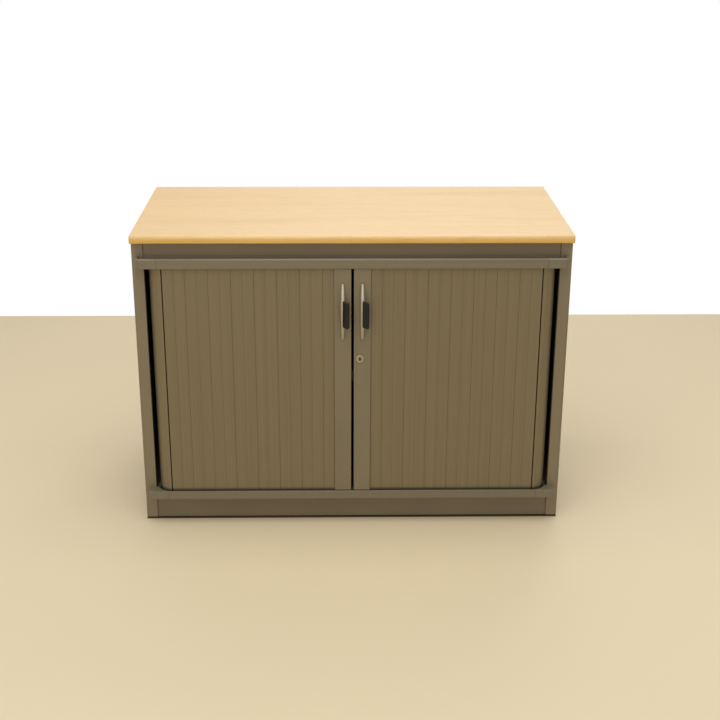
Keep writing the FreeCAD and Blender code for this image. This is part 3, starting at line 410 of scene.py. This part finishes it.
def black_surface(name, colour):
    """Spark-eroded black moulding."""
    surface = Surface(name, Specular_IOR_Level=BLACK_GLOSS)
    grain = surface.noise(BLACK_GRAIN)
    grained = surface.spread(grain, BLACK_GRAIN.band, *tints(colour, BLACK_GRAIN_TINTS))
    surface.drive("Base Color", grained)
    patches = surface.noise(BLACK_PATCHES)
    surface.drive("Roughness", surface.spread(patches, BLACK_PATCHES.band, *BLACK_ROUGHNESS))
    surface.bump((grain, BLACK_GRAIN_HEIGHT))
    return surface.material


def metal_surface(name, colour, roughness, scales=EVEN, metallic=1.0):
    """Brushed or plated metal with fine lines along the small axes of its scales."""
    surface = Surface(name, Metallic=metallic)
    lines = surface.noise(METAL_LINES, scales)
    lined = surface.spread(lines, METAL_LINES.band, *tints(colour, METAL_LINE_TINTS))
    surface.drive("Base Color", lined)
    clouds = surface.noise(METAL_CLOUDS)
    polish = surface.spread(clouds, METAL_CLOUDS.band, *swing(roughness, METAL_CLOUD_SWING))
    surface.drive("Roughness", polish)
    surface.bump((lines, METAL_LINE_HEIGHT))
    return surface.material


def floor_surface(name, colour, gloss):
    surface = Surface(name, Roughness=FLOOR_ROUGHNESS, Specular_IOR_Level=gloss)
    clouds = surface.noise(FLOOR_CLOUDS)
    cloudy = surface.spread(clouds, FLOOR_CLOUDS.band, *tints(colour, FLOOR_CLOUD_TINTS))
    surface.drive("Base Color", cloudy)
    return surface.material


# Each slot's maker, colour and roughness, and what else that maker takes
LAMINATE = (srgb(241, 206, 150), srgb(234, 196, 138))
EDGING = (srgb(240, 192, 99), srgb(230, 179, 84))
# Crown: the top's colour over the edging's rounding, brightened as a painted highlight
CROWN = (srgb(247, 209, 144), srgb(240, 199, 132))
SLOTS = (
    ("carcass_paint", paint_surface, srgb(137, 123, 98), 0.46),
    ("infill_paint", paint_surface, srgb(133, 118, 93), 0.46, PLINTH_SHADE),
    ("stile_paint", paint_surface, srgb(130, 118, 93), 0.42),
    ("rail_plastic", plastic_surface, srgb(126, 116, 94), 0.44, LENGTHWISE_LINES),
    # The slats carry painted shade at their foot and towards the bend's outer edge
    ("slat_plastic", plastic_surface, srgb(129, 114, 84), 0.5, UPRIGHT_LINES,
     SLAT_FOOT_PAINTED_SHADE, BEND_PAINTED_SHADE),
    ("beech_laminate", beech_surface, LAMINATE, 0.42, 420.0),
    ("beech_edge", beech_surface, EDGING, 0.34, 520.0, CROWN),
    ("black_plastic", black_surface, srgb(19, 16, 10)),
    ("satin_silver", metal_surface, srgb(184, 175, 152), 0.45, UPRIGHT_LINES, 0.6),
    ("lock_nickel", metal_surface, srgb(172, 162, 138), 0.36),
    ("lock_core", metal_surface, srgb(148, 138, 114), 0.42),
    ("zinc_steel", metal_surface, srgb(196, 197, 194), 0.34),
)
MATERIALS = {slot: maker(slot, *settings) for slot, maker, *settings in SLOTS}


def dress_frame():
    """Gives each solid its slot's material and softens its sharp edges."""
    for part in frame["record"]["subparts"]:
        item = frame["nodes"][part["node"]]
        for socket in item.material_slots:
            socket.material = MATERIALS[part["material_slot"]]
        weld = item.modifiers.new("weld", "WELD")
        weld.merge_threshold = WELD_REACH
        bevel = item.modifiers.new("soft_edges", "BEVEL")
        bevel.width = EDGE_SOFTNESS
        bevel.segments = EDGE_SEGMENTS
        bevel.limit_method = "ANGLE"
        bevel.angle_limit = EDGE_ANGLE
        bevel.harden_normals = True


# Meshes

def finish_piece(name, mesh, body, slot, *replaced):
    """Makes a mesh a piece that rides on a body, in its slot's material."""
    bmesh.ops.recalc_face_normals(mesh, faces=mesh.faces)
    data = bpy.data.meshes.new(name)
    mesh.to_mesh(data)
    mesh.free()
    data.materials.append(MATERIALS[slot])
    data.shade_smooth()
    data.set_sharp_from_angle(angle=CREASE_ANGLE)
    piece = bpy.data.objects.new(name, data)
    bpy.context.scene.collection.objects.link(piece)
    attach(piece, body)
    if replaced:
        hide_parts(*replaced)
    return piece


def add_prism(mesh, outline, low, high):
    """A closed prism over an outline of (x, y) points, between two heights."""
    rings = [[mesh.verts.new((x, y, z)) for x, y in outline] for z in (low, high)]
    bottom, top = rings
    for i, corner in enumerate(bottom):
        following = (i + 1) % len(bottom)
        mesh.faces.new((corner, bottom[following], top[following], top[i]))
    mesh.faces.new(reversed(bottom))
    mesh.faces.new(top)


def slat_face(start, end, front):
    """The face of one slat from edge to edge: rounded edges and a slight crown."""
    radius = SLAT_EDGE_RADIUS
    edge = front + SLAT_CROWN
    turns = [math.pi / 2 * i / ARC_STEPS for i in range(ARC_STEPS + 1)]
    arc = [(radius * (1 - math.cos(turn)), edge + radius * (1 - math.sin(turn))) for turn in turns]
    face = [(start + inset, y) for inset, y in arc]
    for i in range(1, CROWN_STEPS):
        share = i / CROWN_STEPS
        rise = SLAT_CROWN * (1 - (2 * share - 1) ** 2)
        face.append((start + radius + (end - start - 2 * radius) * share, edge - rise))
    face += [(end - inset, y) for inset, y in reversed(arc)]
    return face


def curtain_outline(near, far, grooves, front, back):
    """The section of a row of slats that hang together by thin webs.

    Each groove in the face is (distance from the cabinet's middle, width, depth).
    """
    face = []
    start = near
    for place, width, depth in grooves:
        end = place - width / 2
        face += slat_face(start, end, front)
        start = place + width / 2
        face += [(end, front + depth), (start, front + depth)]
    face += slat_face(start, far, front)
    rear = [(near, back)]
    for place, _, _ in grooves:
        rear += [(place - SLAT_BACK_BEVEL, back), (place, back - SLAT_BACK_BEVEL),
                 (place + SLAT_BACK_BEVEL, back)]
    rear.append((far, back))
    return face + rear[::-1]


def make_curtain(side, sign):
    """The flat slats of a door, on a mesh of their own; on the real door they shorten towards the
    bend as it opens.
    """
    node = f"{side}_front_slats"
    low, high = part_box(node)
    near = min(abs(low.x), abs(high.x))
    far = BEND_X - BEND_JOINT / 2
    pitch = (BEND_X - near) / SLAT_COUNT
    grooves = []
    for i in range(1, SLAT_COUNT):
        width, depth = (SLAT_JOINT, JOINT_DEPTH) if i % 2 else (SLAT_GROOVE, GROOVE_DEPTH)
        grooves.append((near + pitch * i, width, depth))
    outline = curtain_outline(near, far, grooves, low.y, high.y)
    mesh = bmesh.new()
    add_prism(mesh, [(sign * x, y) for x, y in outline], low.z, high.z)
    piece = finish_piece(f"{side}_curtain", mesh, f"{side}_door", "slat_plastic", node)
    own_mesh(piece)


def bend_place(length, line):
    """A point of the right curtain's line past the start of its bend, and its outward way."""
    turn = min(max(length / BEND_RADIUS, 0.0), math.pi / 2)
    outward = Vector((math.sin(turn), -math.cos(turn)))
    straight = Vector((min(length, 0.0), max(length - BEND_LENGTH, 0.0)))
    return Vector((BEND_X, line + BEND_RADIUS)) + outward * BEND_RADIUS + straight, outward


def bent_strip(sign, line, first, last, outer, inner, edge):
    """The section of a strip along the bend, between two offsets from the curtain's line."""
    front = []
    rear = []
    for i in range(BEND_STEPS + 1):
        place, outward = bend_place(first + (last - first) * i / BEND_STEPS, line)
        sunk = edge if i in (0, BEND_STEPS) else 0.0
        front.append(place + outward * (outer - sunk))
        rear.append(place + outward * inner)
    return [(sign * point.x, point.y) for point in front + rear[::-1]]


def make_bend(side, sign):
    """The slats that turn the corner, bent smoothly round it, and the web in the open joint, made
    black as painted shade.
    """
    node = f"{side}_corner_slats"
    slats_low, slats_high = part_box(f"{side}_front_slats")
    low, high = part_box(node)
    line = (slats_low.y + slats_high.y) / 2
    half = (slats_high.y - slats_low.y) / 2
    start = BEND_JOINT / 2
    end = BEND_LENGTH + high.y - (line + BEND_RADIUS)
    middle = end / 2
    mesh = bmesh.new()
    for first, last in ((start, middle - SLAT_GROOVE / 2), (middle + SLAT_GROOVE / 2, end)):
        outline = bent_strip(sign, line, first, last, half, -half, SLAT_EDGE_RADIUS)
        add_prism(mesh, outline, low.z, high.z)
    finish_piece(f"{side}_bend", mesh, "carcass", "slat_plastic", node)
    # The web at the bottom of the open joint is black, a painted shade for the dark joint
    web_outer = half - BEND_JOINT_DEPTH
    web_inner = web_outer - WEB_THICKNESS
    strip = bent_strip(sign, line, SLAT_GROOVE - start, start, web_outer, web_inner, 0.0)
    web = bmesh.new()
    add_prism(web, strip, low.z, high.z)
    finish_piece(f"{side}_bend_shade_web", web, "carcass", "black_plastic")


def islands(node):
    """The low and high corners of each separate solid of a node."""
    data = frame["nodes"][node].data
    keys = [tuple(round(c / WELD_REACH) for c in vertex.co) for vertex in data.vertices]
    parent = {key: key for key in keys}

    def root(key):
        while parent[key] != key:
            parent[key] = parent[parent[key]]
            key = parent[key]
        return key

    for edge in data.edges:
        first, second = (root(keys[i]) for i in edge.vertices)
        parent[first] = second
    groups = {}
    for key, vertex in zip(keys, data.vertices):
        groups.setdefault(root(key), []).append(vertex.co)
    boxes = []
    for points in groups.values():
        low = Vector([min(point[axis] for point in points) for axis in range(3)])
        high = Vector([max(point[axis] for point in points) for axis in range(3)])
        boxes.append((low, high))
    return sorted(boxes, key=lambda box: tuple(box[0]))


def add_ring(mesh, radius, height, ripple=None):
    """A ring of points round the Z axis, whose radius may ripple with the angle."""
    ring = []
    for i in range(ROUND_STEPS):
        angle = 2 * math.pi * i / ROUND_STEPS
        reach = radius - (ripple(angle) if ripple else 0.0)
        ring.append(mesh.verts.new((reach * math.cos(angle), reach * math.sin(angle), height)))
    return ring


def add_lathe(mesh, profile, close_top=True):
    """A turned form over (radius, height) or (radius, height, ripple) rows; returns its rings."""
    rings = [add_ring(mesh, *row) for row in profile]
    for lower, upper in zip(rings, rings[1:]):
        for i in range(ROUND_STEPS):
            following = (i + 1) % ROUND_STEPS
            mesh.faces.new((lower[i], lower[following], upper[following], upper[i]))
    mesh.faces.new(reversed(rings[0]))
    if close_top:
        mesh.faces.new(rings[-1])
    return rings


def add_recessed_top(mesh, rim, outline, depth):
    """Closes a ring with a flat top that has a recess of the given outline sunk into it."""
    height = rim[0].co.z
    upper = [mesh.verts.new((x, y, height)) for x, y in outline]
    lower = [mesh.verts.new((x, y, height - depth)) for x, y in outline]
    count = len(outline)
    edges = [mesh.edges.get((rim[i], rim[(i + 1) % len(rim)])) for i in range(len(rim))]
    edges += [mesh.edges.new((upper[i], upper[(i + 1) % count])) for i in range(count)]
    bmesh.ops.triangle_fill(mesh, edges=edges, use_beauty=True)
    for i in range(count):
        following = (i + 1) % count
        mesh.faces.new((upper[i], upper[following], lower[following], lower[i]))
    mesh.faces.new(lower)


def cross_outline(reach, half):
    """A cross whose arms have a reach from the middle and half a width."""
    arm = [(half, half), (half, reach), (-half, reach)]
    outline = []
    for _ in range(4):
        outline += arm
        arm = [(-y, x) for x, y in arm]
    return outline


def domed_rows(radius, flat, seat, height):
    """Rows of a pan head: a rim that is upright for half its height and rounds to a flat top."""
    rim = height / 2
    rows = [(radius, seat), (radius, seat + rim)]
    for i in range(1, HEAD_STEPS + 1):
        turn = math.pi / 2 * i / HEAD_STEPS
        reach = flat + (radius - flat) * math.cos(turn)
        rows.append((reach, seat + rim + (height - rim) * math.sin(turn)))
    return rows


def add_screw(mesh, length):
    """A pan-head screw with a cross recess: its seat at the origin, its head towards +Z."""
    head = HEAD_TO_SHANK * SCREW_RADIUS
    rows = [(SCREW_RADIUS * HEAD_FLAT_SHARE, -length), (SCREW_RADIUS, -length + SCREW_RADIUS),
            (SCREW_RADIUS, 0.0)]
    rows += domed_rows(head, head * HEAD_FLAT_SHARE, 0.0, SCREW_HEAD_HEIGHT)
    rim = add_lathe(mesh, rows, close_top=False)[-1]
    outline = cross_outline(head * RECESS_REACH_SHARE, head * RECESS_WIDTH_SHARE)
    add_recessed_top(mesh, rim, outline, SCREW_HEAD_HEIGHT * RECESS_DEPTH_SHARE)


def add_rivet(mesh, length):
    """A blind rivet with a domed head and a round hollow where its pin broke off."""
    head = HEAD_TO_SHANK * RIVET_RADIUS
    bore = head * RIVET_BORE_SHARE
    rows = [(RIVET_RADIUS, -length), (RIVET_RADIUS, 0.0)]
    rows += domed_rows(head, bore * RIVET_FLAT_TO_BORE, 0.0, RIVET_HEAD_HEIGHT)
    rows += [(bore, RIVET_HEAD_HEIGHT), (bore, RIVET_HEAD_HEIGHT * (1 - RECESS_DEPTH_SHARE))]
    add_lathe(mesh, rows)


def make_fasteners(node, body, builder, axis, head_height):
    """Replaces each solid of a node by a detailed fastener whose head looks along the axis."""
    mesh = bmesh.new()
    way = Vector(axis)
    turn = Vector((0, 0, 1)).rotation_difference(way).to_matrix().to_4x4()
    for low, high in islands(node):
        span = abs((high - low).dot(way))
        seat = (low + high) / 2 + way * (span / 2 - head_height)
        single = bmesh.new()
        builder(single, span - head_height)
        place = Matrix.Translation(seat) @ turn
        bmesh.ops.transform(single, matrix=place, verts=single.verts)
        data = bpy.data.meshes.new("single_fastener")
        single.to_mesh(data)
        single.free()
        mesh.from_mesh(data)
        bpy.data.meshes.remove(data)
    finish_piece(f"{node}_detailed", mesh, body, "zinc_steel", node)


def shift_to(mesh, place):
    bmesh.ops.translate(mesh, vec=place, verts=mesh.verts)


def add_thread(mesh, radius, low, high):
    """A threaded rod round the Z axis between two heights."""
    columns = []
    turns = math.ceil((high - low) / THREAD_PITCH) + 1
    for i in range(ROUND_STEPS + 1):
        angle = 2 * math.pi * i / ROUND_STEPS
        column = []
        for row in range(2 * turns + 1):
            height = low + THREAD_PITCH * (row / 2 - 1 + i / ROUND_STEPS)
            height = min(max(height, low), high)
            reach = radius if row % 2 else radius - THREAD_DEPTH
            place = (reach * math.cos(angle), reach * math.sin(angle), height)
            column.append(mesh.verts.new(place))
        columns.append(column)
    for first, second in zip(columns, columns[1:]):
        for row in range(2 * turns):
            mesh.faces.new((first[row], second[row], second[row + 1], first[row + 1]))
    bmesh.ops.remove_doubles(mesh, verts=mesh.verts, dist=WELD_REACH)
    bmesh.ops.holes_fill(mesh, edges=mesh.edges)


def make_foot(foot):
    """A scalloped levelling pad and its threaded stem."""
    body = f"{foot}_foot"
    low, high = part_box(f"{body}_pad")
    stem_low, stem_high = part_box(f"{body}_stem")
    place = Vector(((low.x + high.x) / 2, (low.y + high.y) / 2, 0.0))
    radius = (high.x - low.x) / 2
    stem_radius = (stem_high.x - stem_low.x) / 2
    soft = EDGE_SOFTNESS
    rim = low.z + PAD_RIM_HEIGHT

    def scallop(angle):
        return PAD_SCALLOP_DEPTH * (1 - math.cos(PAD_SCALLOPS * angle)) / 2

    pad = bmesh.new()
    rows = [(radius - 2 * soft, low.z), (radius - soft, low.z + soft / 4),
            (radius, low.z + soft, scallop), (radius, rim - soft, scallop),
            (radius - soft, rim), (PAD_NECK_RADIUS + soft, high.z - soft),
            (PAD_NECK_RADIUS, high.z), (stem_radius + soft, high.z)]
    add_lathe(pad, rows)
    shift_to(pad, place)
    finish_piece(f"{foot}_pad", pad, body, "black_plastic", f"{body}_pad")

    stem = bmesh.new()
    add_thread(stem, stem_radius, stem_low.z, stem_high.z)
    shift_to(stem, place)
    finish_piece(f"{foot}_stem", stem, body, "zinc_steel", f"{body}_stem")


# Stage

def make_camera():
    data = bpy.data.cameras.new("photo_camera")
    data.sensor_width = SENSOR_WIDTH
    data.lens = CAMERA_LENS
    camera = bpy.data.objects.new("photo_camera", data)
    bpy.context.scene.collection.objects.link(camera)
    turn = Matrix.Rotation(CAMERA_YAW, 3, "Z")
    forward = turn @ Vector((0, math.cos(CAMERA_PITCH), -math.sin(CAMERA_PITCH)))
    up = turn @ Vector((0, math.sin(CAMERA_PITCH), math.cos(CAMERA_PITCH)))
    right = turn @ Vector((1, 0, 0))
    rolled_right = right * math.cos(CAMERA_ROLL) + up * math.sin(CAMERA_ROLL)
    rolled_up = up * math.cos(CAMERA_ROLL) - right * math.sin(CAMERA_ROLL)
    axes = Matrix((rolled_right, rolled_up, -forward)).transposed()
    camera.matrix_world = Matrix.Translation(CAMERA_PLACE) @ axes.to_4x4()
    bpy.context.scene.camera = camera


def make_floor():
    """A pale floor, with a painted shadow below the cabinet that shows only in the gap under it.
    """
    pale = srgb(*FLOOR_COLOUR)
    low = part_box("left_side_panel")[0]
    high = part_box("right_side_panel")[1]
    columns = (-FLOOR_REACH, low.x, high.x, FLOOR_REACH)
    rows = (-FLOOR_REACH, low.y, high.y, FLOOR_BACK_EDGE)
    mesh = bmesh.new()
    grid = [[mesh.verts.new((x, y, 0)) for x in columns] for y in rows]
    for j, (near, far) in enumerate(zip(grid, grid[1:])):
        for i in range(len(columns) - 1):
            face = mesh.faces.new((near[i], near[i + 1], far[i + 1], far[i]))
            face.material_index = 1 if (i, j) == (1, 1) else 0
    data = bpy.data.meshes.new("floor")
    mesh.to_mesh(data)
    mesh.free()
    data.materials.append(floor_surface("floor_paint", pale, FLOOR_GLOSS))
    # The second material is the painted shadow below the cabinet, darker and without gloss
    data.materials.append(floor_surface("floor_painted_shadow", tint(pale, PAINTED_SHADOW_SHARE), PAINTED_SHADOW_GLOSS))
    floor = bpy.data.objects.new("floor", data)
    bpy.context.scene.collection.objects.link(floor)


def make_world():
    """White where the camera, a reflection or glass sees it, and a dimmer light for the rest."""
    world = bpy.data.worlds.new("studio")
    world.use_nodes = True
    tree = world.node_tree
    background = tree.nodes["Background"]
    background.inputs["Color"].default_value = WHITE
    path = tree.nodes.new("ShaderNodeLightPath")
    seen = path.outputs["Is Camera Ray"]
    for kind in ("Is Glossy Ray", "Is Transmission Ray"):
        either = tree.nodes.new("ShaderNodeMath")
        either.operation = "MAXIMUM"
        tree.links.new(seen, either.inputs[0])
        tree.links.new(path.outputs[kind], either.inputs[1])
        seen = either.outputs[0]
    strength = tree.nodes.new("ShaderNodeMapRange")
    strength.inputs["To Min"].default_value = AMBIENT
    strength.inputs["To Max"].default_value = 1.0
    tree.links.new(seen, strength.inputs["Value"])
    tree.links.new(strength.outputs["Result"], background.inputs["Strength"])
    bpy.context.scene.world = world


def make_lights():
    for name, place, aim, width, height, power in LAMPS:
        data = bpy.data.lights.new(name, "AREA")
        data.shape = "RECTANGLE"
        data.size = width
        data.size_y = height
        data.energy = power
        data.color = LAMP_COLOUR
        lamp = bpy.data.objects.new(name, data)
        lamp.location = place
        way = Vector(aim) - Vector(place)
        lamp.rotation_euler = way.to_track_quat("-Z", "Y").to_euler()
        bpy.context.scene.collection.objects.link(lamp)


make_camera()
make_floor()
make_world()
make_lights()
dress_frame()
for side, sign in (("left", -1), ("right", 1)):
    make_curtain(side, sign)
    make_bend(side, sign)
make_fasteners("bottom_rail_screws", "carcass", add_screw, (0, 0, 1), SCREW_HEAD_HEIGHT)
make_fasteners("top_rail_screws", "carcass", add_screw, (0, 0, -1), SCREW_HEAD_HEIGHT)
make_fasteners("lock_hook_screw", "lock_cylinder", add_screw, (0, 1, 0), SCREW_HEAD_HEIGHT)
make_fasteners("back_rivets", "carcass", add_rivet, (0, 1, 0), RIVET_HEAD_HEIGHT)
for foot in ("front_left", "front_right", "rear_left", "rear_right"):
    make_foot(foot)

bpy.context.scene.view_settings.view_transform = "Standard"
